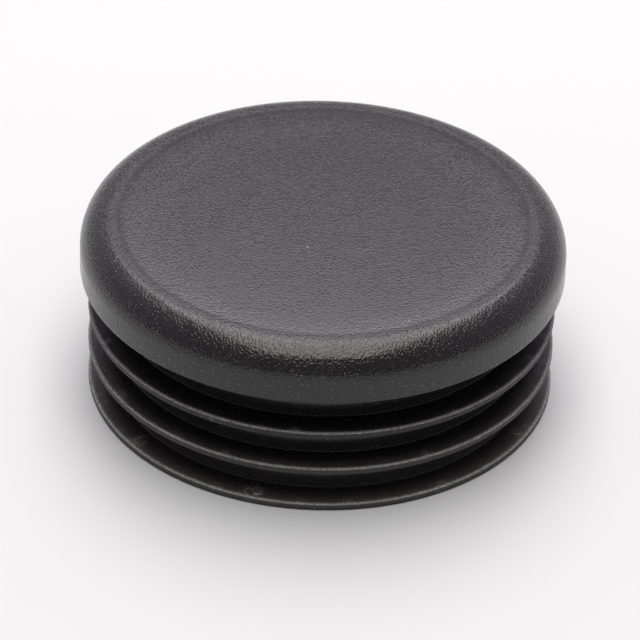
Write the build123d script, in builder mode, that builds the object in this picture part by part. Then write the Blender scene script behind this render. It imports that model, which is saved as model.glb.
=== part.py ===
from build123d import *
from math import isclose, radians, tan
import os

# Finned end cap for a round tube: one moulding in soft polyethylene.
#
# The head covers the cut end of the tube and is flush with its outside. A hollow stem under the head
# carries thin fins that are a little larger than the bore: they bend back as the cap is driven in, and
# their edges hold it there. Z = 0 is the stem's open end, which is also the lower face of the lowest
# fin, and +Z runs up the axis through the head. All lengths are in millimetres.

os.makedirs("parts", exist_ok=True)

# The tubes that the cap fits
tube_diameter = 50.0  # outside diameter, which the head matches
thinnest_wall = 1.0
thickest_wall = 2.5

# Head
head_height = 5.45  # seat on the tube's end, up to the ledge round the top
edge_radius = 3.3  # round edge from the ledge to the side
rim_chamfer = 0.15  # lower edge of the side, beside the tube
ledge_width = 0.9  # between the round edge and the raised panel in the middle of the top
panel_rise = 0.17  # panel above the ledge
shoulder_width = 3.4  # radial width of the soft shoulder round the panel
roof_thickness = 2.8  # panel to the hollow's ceiling

# Fins
fin_count = 3
fin_pitch = 4.4
first_fin_gap = 4.2  # seat to the highest fin's tip
fin_bite = 0.15  # radius of the fins beyond the largest bore's
fin_tip_thickness = 0.75
fin_root_thickness = 1.1  # the upper face slopes from here to the tip, and the lower face is flat
fin_tip_chamfer = 0.1

# Stem
stem_clearance = 0.9  # stem to the smallest bore, where the folded fins lie
stem_wall = 1.8  # at the open end
hollow_draft = 1.0  # degrees, narrowing towards the ceiling
ceiling_chamfer = 1.0  # between the hollow's wall and ceiling
mouth_chamfer = 0.4
gate_radius = 1.6  # stub where the material entered, in the middle of the ceiling
gate_height = 0.5

# Sizes that follow
head_radius = tube_diameter / 2
panel_radius = head_radius - edge_radius - ledge_width
fin_radius = head_radius - thinnest_wall + fin_bite
stem_radius = head_radius - thickest_wall - stem_clearance
insert_depth = first_fin_gap + (fin_count - 1) * fin_pitch + fin_tip_thickness
ledge_height = insert_depth + head_height
top_height = ledge_height + panel_rise
ceiling_height = top_height - roof_thickness
mouth_radius = stem_radius - stem_wall

with BuildPart() as end_cap:
    # Half of the outer section, turned about the axis
    with BuildSketch(Plane.XZ) as outer_section:
        with BuildLine():
            panel = Line((0, top_height), (panel_radius - shoulder_width, top_height))
            shoulder = TangentArc(panel @ 1, (panel_radius, ledge_height), tangent=panel % 1)
            ledge = Line(shoulder @ 1, (head_radius - edge_radius, ledge_height))
            edge = TangentArc(ledge @ 1, (head_radius, ledge_height - edge_radius), tangent=ledge % 1)
            Polyline(edge @ 1, (head_radius, insert_depth), (0, insert_depth), panel @ 0)
        make_face()
        Rectangle(stem_radius, insert_depth, align=(Align.MIN, Align.MIN))
        for fin in range(fin_count):
            low = fin * fin_pitch
            with BuildLine():
                Polyline(
                    (0, low),
                    (fin_radius, low),
                    (fin_radius, low + fin_tip_thickness),
                    (stem_radius, low + fin_root_thickness),
                    (0, low + fin_root_thickness),
                    close=True,
                )
            make_face()
        fin_tips = outer_section.vertices().filter_by(lambda corner: isclose(corner.X, fin_radius))
        chamfer(fin_tips, fin_tip_chamfer)
        rim_corner = outer_section.vertices().sort_by_distance((head_radius, insert_depth))[0]
        chamfer(rim_corner, rim_chamfer)
    revolve(axis=Axis.Z)

    # Hollow stem, open at the bottom
    with BuildSketch(Plane.XZ) as hollow_section:
        with BuildLine():
            Polyline(
                (0, 0),
                (mouth_radius, 0),
                (mouth_radius - ceiling_height * tan(radians(hollow_draft)), ceiling_height),
                (gate_radius, ceiling_height),
                (gate_radius, ceiling_height - gate_height),
                (0, ceiling_height - gate_height),
                close=True,
            )
        make_face()
        chamfer(hollow_section.vertices().group_by(Axis.Y)[-1].sort_by(Axis.X)[-1], ceiling_chamfer)
    revolve(axis=Axis.Z, mode=Mode.SUBTRACT)
    mouth_edge = end_cap.edges().group_by(Axis.Z)[0].sort_by(SortBy.RADIUS)[0]
    chamfer(mouth_edge, mouth_chamfer)

end_cap.part.label = "end_cap"
export_step(end_cap.part, "parts/end_cap.step")
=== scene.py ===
from math import ceil, cos, hypot, pi, radians, sin, tan

import bpy
import numpy as np
from mathutils import Matrix, Vector


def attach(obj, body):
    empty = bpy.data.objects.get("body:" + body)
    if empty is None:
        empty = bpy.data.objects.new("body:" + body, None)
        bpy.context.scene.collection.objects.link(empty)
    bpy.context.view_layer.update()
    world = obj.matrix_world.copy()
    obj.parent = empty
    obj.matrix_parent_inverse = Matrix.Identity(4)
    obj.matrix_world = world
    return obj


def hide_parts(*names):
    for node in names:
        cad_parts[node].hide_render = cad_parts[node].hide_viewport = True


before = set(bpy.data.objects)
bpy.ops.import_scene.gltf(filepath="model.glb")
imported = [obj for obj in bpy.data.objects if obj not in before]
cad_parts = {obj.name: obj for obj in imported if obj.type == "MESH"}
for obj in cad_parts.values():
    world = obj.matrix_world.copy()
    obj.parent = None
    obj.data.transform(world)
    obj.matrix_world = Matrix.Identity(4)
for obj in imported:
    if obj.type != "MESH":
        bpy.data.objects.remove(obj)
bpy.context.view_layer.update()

MM = 0.001  # the lengths of the moulding and its materials are in millimetres, as in the part's source

# Head
HEAD_RADIUS = 25.0
EDGE_RADIUS = 3.2
LEDGE_HEIGHT = 19.31
PANEL_HEIGHT = 19.37
PANEL_RADIUS = 20.85
PANEL_SLOPES = (  # radius and degrees, before the fit to the panel's rise
    (0, 0),
    (15.0, 0.05),
    (18.0, 0.3),
    (20.3, 1.75),
    (20.5, 1.75),
    (PANEL_RADIUS, 0),
)
SEAT_HEIGHT = 13.75
RIM_ROUND = 0.22

# Stem and fins
STEM_RADIUS = 21.6
FIN_RADIUS = 24.15
FIN_COUNT = 3
FIN_PITCH = 4.4
FIN_TIP = 0.75
FIN_ROOT = 1.1
FIN_TIP_ROUND = 0.13
FIN_FOOT_ROUND = 0.25  # lower corner of a fin's edge
FIN_ROOT_ROUND = 0.06
RAGGED_EDGE = 0.035  # unevenness of the fins' edges

# Hollow
MOUTH_RADIUS = 19.8
MOUTH_ROUND = 0.4
CEILING_HEIGHT = 16.57
CEILING_ROUND = 1.2
DRAFT = radians(1.0)
GATE_RADIUS = 1.6
GATE_HEIGHT = 0.5
GATE_ROUND = 0.15

# Mesh
SEGMENTS = 360  # round the axis
LONGEST_STEP = 1.3  # between two rings
LONGEST_ARC_STEP = 0.25  # between two rings on a fillet
SHORTEST_ARC_STEP = 0.02
LARGEST_TURN = radians(10)  # between two steps on a fillet
PANEL_STEP = 1.5  # between two rings where the panel is almost flat
SHOULDER_START = 18.0
SHOULDER_STEP = 0.1

# Moulded grain: low swells on the panel, pimples on the round edge and the side
GRAIN_SCALE = 5.0  # per millimetre
EDGE_SCALE = 4.5  # per millimetre
PANEL_GRAIN = 0.02  # depth
EDGE_GRAIN = 0.022  # depth

# Colours of the plastic, of what lies on it, and of light painted on it
BLACK = ((0.006, 0.0057, 0.006, 1), (0.008, 0.0077, 0.008, 1))  # the two ends of its faint blotches
# partly dust and partly painted light: the layer on the lowest fin is paler towards its rim, where more light
# reaches it
DUST_FILM_AND_PAINTED_LIGHT = (0.065, 0.060, 0.057, 1)
# partly wear and partly a painted highlight on the fins' upper corners
WORN_LIP_AND_HIGHLIGHT = (0.50, 0.495, 0.48, 1)
# partly dust and partly painted glints on the head's side and the fins' rims
DUST_AND_GLINT_DOT = (0.35, 0.34, 0.32, 1)
FIBRE = (0.45, 0.43, 0.38, 1)
SPECK = (0.07, 0.068, 0.065, 1)
DOT_SCALE = 4.0  # cells that may hold a dot of dust, per millimetre
DOT_SIZE = 0.07
DOT_HEIGHT = 0.013

FIBRES = (  # tufts of dust on the lowest fin: place and reach
    ((-6.3, -22.4, 0.95), 1.3),
    ((-18.0, -14.3, 0.95), 1.0),
    ((20.6, -11.0, 0.95), 0.9),
)
SPECKS = (  # lint and small nicks: place and reach
    ((-10.7, -21.65, 9.2), 0.3),
    ((-8.5, -22.6, 5.1), 0.25),
    ((-13.5, -12.8, 19.35), 0.17),
    ((8.7, -18.1, 19.35), 0.2),
    ((-1.6, -5.4, 19.37), 0.15),
)


# ---------------------------------------------------------------- the moulding's section

def rounded(corners):
    """Points along a polyline of (radius, height, fillet radius) corners, with each corner rounded by its
    fillet. No step is too long, and none on a fillet turns too far."""
    points = [np.array(corners[0][:2], float)]
    for before, here, after in zip(corners, corners[1:], corners[2:]):
        p0, p1, p2 = (np.array(c[:2], float) for c in (before, here, after))
        a, b = (p0 - p1) / np.linalg.norm(p0 - p1), (p2 - p1) / np.linalg.norm(p2 - p1)
        bend = pi - np.arccos(np.clip(a @ b, -1, 1))
        reach = here[2] * tan(bend / 2)
        start, end = p1 + a * reach, p1 + b * reach
        centre = p1 + (a + b) / np.linalg.norm(a + b) * hypot(here[2], reach)
        arc = here[2] * bend
        smooth = min(ceil(bend / LARGEST_TURN), ceil(arc / SHORTEST_ARC_STEP))
        steps = max(2, smooth, ceil(arc / LONGEST_ARC_STEP))
        u, v = start - centre, end - centre
        points.append(start)
        for k in range(1, steps + 1):
            t = k / steps
            points.append(centre + (sin((1 - t) * bend) * u + sin(t * bend) * v) / sin(bend))
    points.append(np.array(corners[-1][:2], float))

    filled = [points[0]]
    for p in points[1:]:
        gap = np.linalg.norm(p - filled[-1])
        if gap < 1e-6:
            continue
        steps = ceil(gap / LONGEST_STEP)
        start = filled[-1]
        filled += [start + (p - start) * k / steps for k in range(1, steps + 1)]
    return np.array(filled)


def panel():
    """The raised panel, which is almost flat with a soft shoulder, and the ledge round it."""
    radii = np.concatenate([
        np.arange(0, SHOULDER_START, PANEL_STEP),
        np.arange(SHOULDER_START, PANEL_RADIUS, SHOULDER_STEP),
        np.linspace(PANEL_RADIUS, HEAD_RADIUS - EDGE_RADIUS, 4),
    ])
    slopes = np.interp(radii, *zip(*PANEL_SLOPES))
    fall = np.concatenate([[0], np.cumsum((slopes[1:] + slopes[:-1]) * np.diff(radii))])
    return np.stack([radii, PANEL_HEIGHT - fall * (PANEL_HEIGHT - LEDGE_HEIGHT) / fall[-1]], 1)


def section():
    """The moulding's half section, from the middle of the top, round the outside and up the hollow to the
    axis."""
    corners = [
        (HEAD_RADIUS - EDGE_RADIUS, LEDGE_HEIGHT, 0),
        (HEAD_RADIUS, LEDGE_HEIGHT, EDGE_RADIUS),
        (HEAD_RADIUS, SEAT_HEIGHT, RIM_ROUND),
        (STEM_RADIUS, SEAT_HEIGHT, FIN_ROOT_ROUND),
    ]
    for low in (FIN_PITCH * fin for fin in reversed(range(FIN_COUNT))):
        corners += [
            (STEM_RADIUS, low + FIN_ROOT, FIN_ROOT_ROUND),
            (FIN_RADIUS, low + FIN_TIP, FIN_TIP_ROUND),
            (FIN_RADIUS, low, FIN_FOOT_ROUND),
        ]
        if low > 0:
            corners.append((STEM_RADIUS, low, FIN_ROOT_ROUND))
    corners += [
        (MOUTH_RADIUS, 0, MOUTH_ROUND),
        (MOUTH_RADIUS - CEILING_HEIGHT * tan(DRAFT), CEILING_HEIGHT, CEILING_ROUND),
        (GATE_RADIUS, CEILING_HEIGHT, GATE_ROUND),
        (GATE_RADIUS, CEILING_HEIGHT - GATE_HEIGHT, GATE_ROUND),
        (0, CEILING_HEIGHT - GATE_HEIGHT, 0),
    ]
    return np.concatenate([panel()[:-1], rounded(corners)])


def lathe(name, outline):
    """A closed smooth mesh of the section turned about the axis, with ragged edges on the fins and an attribute
    that is 1 on the head."""
    inner = outline[1:-1]
    rings = len(inner)
    angle = np.arange(SEGMENTS) * 2 * pi / SEGMENTS
    r, z = inner[:, 0][:, None], inner[:, 1][:, None]
    on_fin_edge = np.clip((r - (FIN_RADIUS - 0.3)) / 0.2, 0, 1) * (z < SEAT_HEIGHT - 0.5)
    r = r - RAGGED_EDGE * on_fin_edge * np.random.default_rng(7).random((rings, SEGMENTS)) ** 2
    ring_points = np.stack([r * np.cos(angle), r * np.sin(angle), np.broadcast_to(z, (rings, SEGMENTS))], 2)
    points = np.concatenate([[(0, 0, outline[0, 1])], ring_points.reshape(-1, 3), [(0, 0, outline[-1, 1])]])

    def at(ring, k):
        return 1 + ring * SEGMENTS + k % SEGMENTS

    faces = [(0, at(0, k), at(0, k + 1)) for k in range(SEGMENTS)]
    for ring in range(rings - 1):
        faces += [(at(ring, k), at(ring + 1, k), at(ring + 1, k + 1), at(ring, k + 1)) for k in range(SEGMENTS)]
    last = len(points) - 1
    faces += [(at(rings - 1, k + 1), at(rings - 1, k), last) for k in range(SEGMENTS)]

    mesh = bpy.data.meshes.new(name)
    mesh.from_pydata((points * MM).tolist(), [], faces)
    mesh.shade_smooth()
    # The head ends where the section first comes down to the seat
    along = np.concatenate([[0], np.cumsum(np.linalg.norm(np.diff(outline, axis=0), axis=1))])
    arc = np.concatenate([[0], np.repeat(along[1:-1], SEGMENTS), [along[-1]]])
    head = arc <= along[np.argmax(outline[:, 1] < SEAT_HEIGHT + 0.05)]
    mesh.attributes.new("head", "FLOAT", "POINT").data.foreach_set("value", head.astype(np.float32))
    piece = bpy.data.objects.new(name, mesh)
    bpy.context.scene.collection.objects.link(piece)
    return piece


# ---------------------------------------------------------------- materials

class Nodes:
    """Short calls for building a node tree."""

    def __init__(self, tree):
        self.tree = tree

    def add(self, kind, **settings):
        node = self.tree.nodes.new(kind)
        for name, value in settings.items():
            setattr(node, name, value)
        return node

    def put(self, socket, value):
        """Sets a socket, or links it if the value is another node's output."""
        if isinstance(value, bpy.types.NodeSocket):
            self.tree.links.new(value, socket)
        else:
            socket.default_value = value

    def math(self, operation, *values):
        node = self.add("ShaderNodeMath", operation=operation)
        for socket, value in zip(node.inputs, values):
            self.put(socket, value)
        return node.outputs[0]

    def product(self, first, *others):
        for other in others:
            first = self.math("MULTIPLY", first, other)
        return first

    def apart(self, a, b):
        """The distance between two numbers."""
        return self.math("ABSOLUTE", self.math("SUBTRACT", a, b))

    def ramp(self, value, low, high, to_low=0.0, to_high=1.0, kind="LINEAR"):
        """A ramp, held flat past its ends."""
        node = self.add("ShaderNodeMapRange", clamp=True, interpolation_type=kind)
        inputs = {"Value": value, "From Min": low, "From Max": high, "To Min": to_low, "To Max": to_high}
        for name, number in inputs.items():
            self.put(node.inputs[name], number)
        return node.outputs[0]

    def noise(self, vector, scale, detail=2.0, roughness=0.5, distortion=0.0):
        node = self.add("ShaderNodeTexNoise")
        inputs = {"Vector": vector, "Scale": scale, "Detail": detail, "Roughness": roughness,
                  "Distortion": distortion}
        for name, number in inputs.items():
            self.put(node.inputs[name], number)
        return node.outputs[0]

    def stretched(self, vector, scale):
        node = self.add("ShaderNodeMapping")
        self.put(node.inputs["Vector"], vector)
        self.put(node.inputs["Scale"], scale)
        return node.outputs[0]

    def split(self, vector):
        """The vector's X, Y and Z."""
        node = self.add("ShaderNodeSeparateXYZ")
        self.put(node.inputs[0], vector)
        return node.outputs

    def length(self, vector):
        node = self.add("ShaderNodeVectorMath", operation="LENGTH")
        self.put(node.inputs[0], vector)
        return node.outputs["Value"]

    def near(self, vector, point, reach):
        """1 close to the point, falling to 0 at the reach."""
        node = self.add("ShaderNodeVectorMath", operation="DISTANCE")
        self.put(node.inputs[0], vector)
        self.put(node.inputs[1], point)
        return self.ramp(node.outputs["Value"], reach, 0.4 * reach)

    def dots(self, vector, scale, size):
        """Scattered round dots of one radius in vector units, and a random strength for each, mostly low."""
        node = self.add("ShaderNodeTexVoronoi")
        self.put(node.inputs["Vector"], vector)
        self.put(node.inputs["Scale"], scale)
        random = self.add("ShaderNodeSeparateColor")
        self.put(random.inputs[0], node.outputs["Color"])
        dot = self.ramp(node.outputs["Distance"], size * scale, 0.3 * size * scale)
        return dot, self.math("POWER", random.outputs[0], 4.0)

    def mix(self, share, a, b):
        """Between two colours."""
        node = self.add("ShaderNodeMix", data_type="RGBA")
        self.put(node.inputs[0], share)
        self.put(node.inputs[6], a)
        self.put(node.inputs[7], b)
        return node.outputs[2]


def moulded_grain(n, place, radius, head):
    """The grain's height: swells on the panel, deepest on its shoulder and faint where it meets the ledge, and
    pimples from there outwards."""
    depth = n.ramp(radius, 15.0, 19.5, PANEL_GRAIN, 1.4 * PANEL_GRAIN)
    fade = n.ramp(radius, PANEL_RADIUS - 0.5, PANEL_RADIUS, 1.0, 0.3)
    swells = n.product(n.math("SUBTRACT", n.noise(place, GRAIN_SCALE, detail=0.0), 0.5), fade, depth)
    pimples = n.ramp(n.noise(place, EDGE_SCALE, detail=0.0), 0.42, 0.70, kind="SMOOTHSTEP")
    # The ground between the pimples stays near the ledge's own height, or a slope would show where they begin
    pimples = n.product(n.math("SUBTRACT", pimples, 0.1), EDGE_GRAIN)
    return n.product(n.ramp(radius, PANEL_RADIUS + 0.2, PANEL_RADIUS + 1.0, swells, pimples), head)


def plastic_colour(n, place, height, radius, rim, dust_and_glints, blotches):
    """Blotched black with what lies on it, and painted light: a dusty layer on the lowest fin, paler towards its
    rim as painted light; the fins' lips, worn and painted pale as a highlight; pale dots, partly dusty specks and
    partly painted glints; tufts of fibres and specks."""
    # The dusty layer is thickest on the lowest fin's upper face and thins out towards the stem and upwards; its
    # paleness towards the rim is painted light, where more light reaches the face
    scuffs = n.ramp(n.noise(place, 5.0, detail=3.0, roughness=0.7), 0.35, 0.65)
    low = n.product(n.ramp(height, 7.0, 1.1), n.ramp(height, 0.1, 0.5))
    low_fin = n.product(low, n.ramp(radius, STEM_RADIUS, FIN_RADIUS, 0.25, 1.0))
    film_and_painted_light = n.product(low_fin, n.ramp(scuffs, 0.0, 1.0, 0.4, 1.0))
    # The lips are the upper corners of the fins' edges, painted pale: partly wear and partly a painted highlight
    # where the corner catches the overhead light
    off_lip = n.apart(n.math("MODULO", height, FIN_PITCH), FIN_TIP)
    speckle = n.ramp(n.noise(place, 7.0), 0.42, 0.66, 0.25, 1.0)
    lip_wear_and_highlight = n.product(rim, n.ramp(off_lip, 0.13, 0.03), speckle)
    # Threads run through the whole noise, and show only in the tufts
    fibres = n.ramp(n.apart(n.noise(place, 1.7, distortion=1.0), 0.5), 0.024, 0.008)

    colour = n.mix(blotches, *BLACK)
    colour = n.mix(film_and_painted_light, colour, DUST_FILM_AND_PAINTED_LIGHT)
    colour = n.mix(lip_wear_and_highlight, colour, WORN_LIP_AND_HIGHLIGHT)
    colour = n.mix(dust_and_glints, colour, DUST_AND_GLINT_DOT)
    for point, reach in FIBRES:
        colour = n.mix(n.product(fibres, n.near(place, point, reach)), colour, FIBRE)
    for point, reach in SPECKS:
        colour = n.mix(n.near(place, point, reach), colour, SPECK)
    return colour


def polyethylene():
    """Black moulded polyethylene, grained on the head and smoother on the stem and the fins."""
    material = bpy.data.materials.new("polyethylene")
    material.use_nodes = True
    n = Nodes(material.node_tree)
    shader = material.node_tree.nodes["Principled BSDF"]
    place = n.stretched(n.add("ShaderNodeTexCoord").outputs["Object"], (1 / MM,) * 3)
    radius = n.length(n.stretched(place, (1, 1, 0)))
    head = n.add("ShaderNodeAttribute", attribute_name="head").outputs["Fac"]
    rim = n.product(n.ramp(radius, FIN_RADIUS - 0.4, FIN_RADIUS - 0.1), n.math("SUBTRACT", 1.0, head))
    # Where pale dots show, partly dusty specks and partly painted glints: most on the head's side and the fins'
    # rims, and few on the ledge
    on_side = n.math("MAXIMUM", n.ramp(radius, PANEL_RADIUS, HEAD_RADIUS - 0.3, 0.1, 1.0), rim)
    dots, strength = n.dots(place, DOT_SCALE, DOT_SIZE)
    blotches = n.ramp(n.noise(place, 0.25, detail=3.0), 0.3, 0.7)

    dust_and_glints = n.product(dots, strength, on_side)
    n.put(shader.inputs["Base Color"], plastic_colour(n, place, n.split(place)["Z"], radius, rim, dust_and_glints, blotches))

    on_head = n.ramp(blotches, 0.0, 1.0, 0.145, 0.17)
    on_stem = n.ramp(radius, STEM_RADIUS + 0.1, FIN_RADIUS - 0.3, 0.15, 0.55)
    n.put(shader.inputs["Roughness"], n.mix(head, on_stem, on_head))

    bump = n.add("ShaderNodeBump")
    bump.inputs["Strength"].default_value = 1.0
    bump.inputs["Distance"].default_value = MM
    grain = moulded_grain(n, place, radius, head)
    n.put(bump.inputs["Height"], n.math("MULTIPLY_ADD", n.product(dots, on_side), DOT_HEIGHT, grain))
    n.put(shader.inputs["Normal"], bump.outputs[0])
    shader.inputs["IOR"].default_value = 1.52
    return material


# ---------------------------------------------------------------- studio

CAMERA_PLACE = Vector((0.0, -417.41, 294.46)) * MM
CAMERA_TARGET = Vector((-0.110, 0.0, 6.672)) * MM
CAMERA_ROLL = radians(1.669)
CAMERA_LENS = 274.58  # millimetres, as is the sensor
SENSOR_WIDTH = 36.0

FLOOR = (0.76, 0.80, 0.80, 1)
FLOOR_HALF = 1.5  # metres

# Walls and ceiling of the room, brightest behind the cap and dimmest in front of it
ROOM_FRONT = (0.23, 0.22, 0.23, 1)
ROOM_SIDES = (0.41, 0.38, 0.41, 1)
ROOM_BACK = (0.78, 0.695, 0.79, 1)

LAMP_HEIGHT = 0.62  # metres
LAMP_RADIANCE = 3.8
SOFTBOXES = (  # name, place along Y and size in metres, colour
    ("overhead", 0.13, (0.40, 0.86), (1.0, 0.935, 0.90)),  # mirrored by the head's round edge
    ("overhead_back", 0.68, (0.40, 0.24), (0.96, 0.90, 0.98)),  # mirrored by the front of the panel
)


def add_camera():
    data = bpy.data.cameras.new("camera")
    data.lens, data.sensor_width = CAMERA_LENS, SENSOR_WIDTH
    data.clip_start, data.clip_end = 0.01, 10.0
    ahead = (CAMERA_TARGET - CAMERA_PLACE).normalized()
    level = ahead.cross(Vector((0, 0, 1))).normalized()
    right = level * cos(CAMERA_ROLL) + level.cross(ahead) * sin(CAMERA_ROLL)
    camera = bpy.data.objects.new("camera", data)
    axes = Matrix((right, right.cross(ahead), -ahead)).transposed()
    camera.matrix_world = Matrix.Translation(CAMERA_PLACE) @ axes.to_4x4()
    bpy.context.scene.collection.objects.link(camera)
    bpy.context.scene.camera = camera


def add_softbox(name, y, size, colour):
    """A rectangular lamp that faces straight down and looks as bright as its radiance from below."""
    data = bpy.data.lights.new(name, "AREA")
    data.shape, data.size, data.size_y = "RECTANGLE", size[0], size[1]
    data.energy = LAMP_RADIANCE * pi * size[0] * size[1]
    data.color = colour
    lamp = bpy.data.objects.new(name, data)
    lamp.location = (0, y, LAMP_HEIGHT)
    bpy.context.scene.collection.objects.link(lamp)


def add_room():
    """The pale room round the cap, the same for every ray."""
    world = bpy.data.worlds.new("studio")
    world.use_nodes = True
    bpy.context.scene.world = world
    n = Nodes(world.node_tree)
    back = n.split(n.add("ShaderNodeTexCoord").outputs["Generated"])["Y"]
    front_half = n.mix(n.ramp(back, -1.0, 0.0), ROOM_FRONT, ROOM_SIDES)
    background = world.node_tree.nodes["Background"]
    n.put(background.inputs["Color"], n.mix(n.ramp(back, 0.0, 1.0), front_half, ROOM_BACK))


def add_floor():
    material = bpy.data.materials.new("floor")
    material.use_nodes = True
    shader = material.node_tree.nodes["Principled BSDF"]
    shader.inputs["Base Color"].default_value = FLOOR
    shader.inputs["Roughness"].default_value = 0.9
    shader.inputs["Specular IOR Level"].default_value = 0.0
    mesh = bpy.data.meshes.new("floor")
    corners = [(x * FLOOR_HALF, y * FLOOR_HALF, 0) for x, y in ((-1, -1), (1, -1), (1, 1), (-1, 1))]
    mesh.from_pydata(corners, [], [(0, 1, 2, 3)])
    mesh.materials.append(material)
    floor = bpy.data.objects.new("floor", mesh)
    bpy.context.scene.collection.objects.link(floor)


cap = lathe("end_cap_moulding", section())
cap.data.materials.append(polyethylene())
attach(cap, "root")
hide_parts("end_cap")

add_camera()
add_floor()
add_room()
for softbox in SOFTBOXES:
    add_softbox(*softbox)
bpy.context.scene.view_settings.view_transform = "Standard"
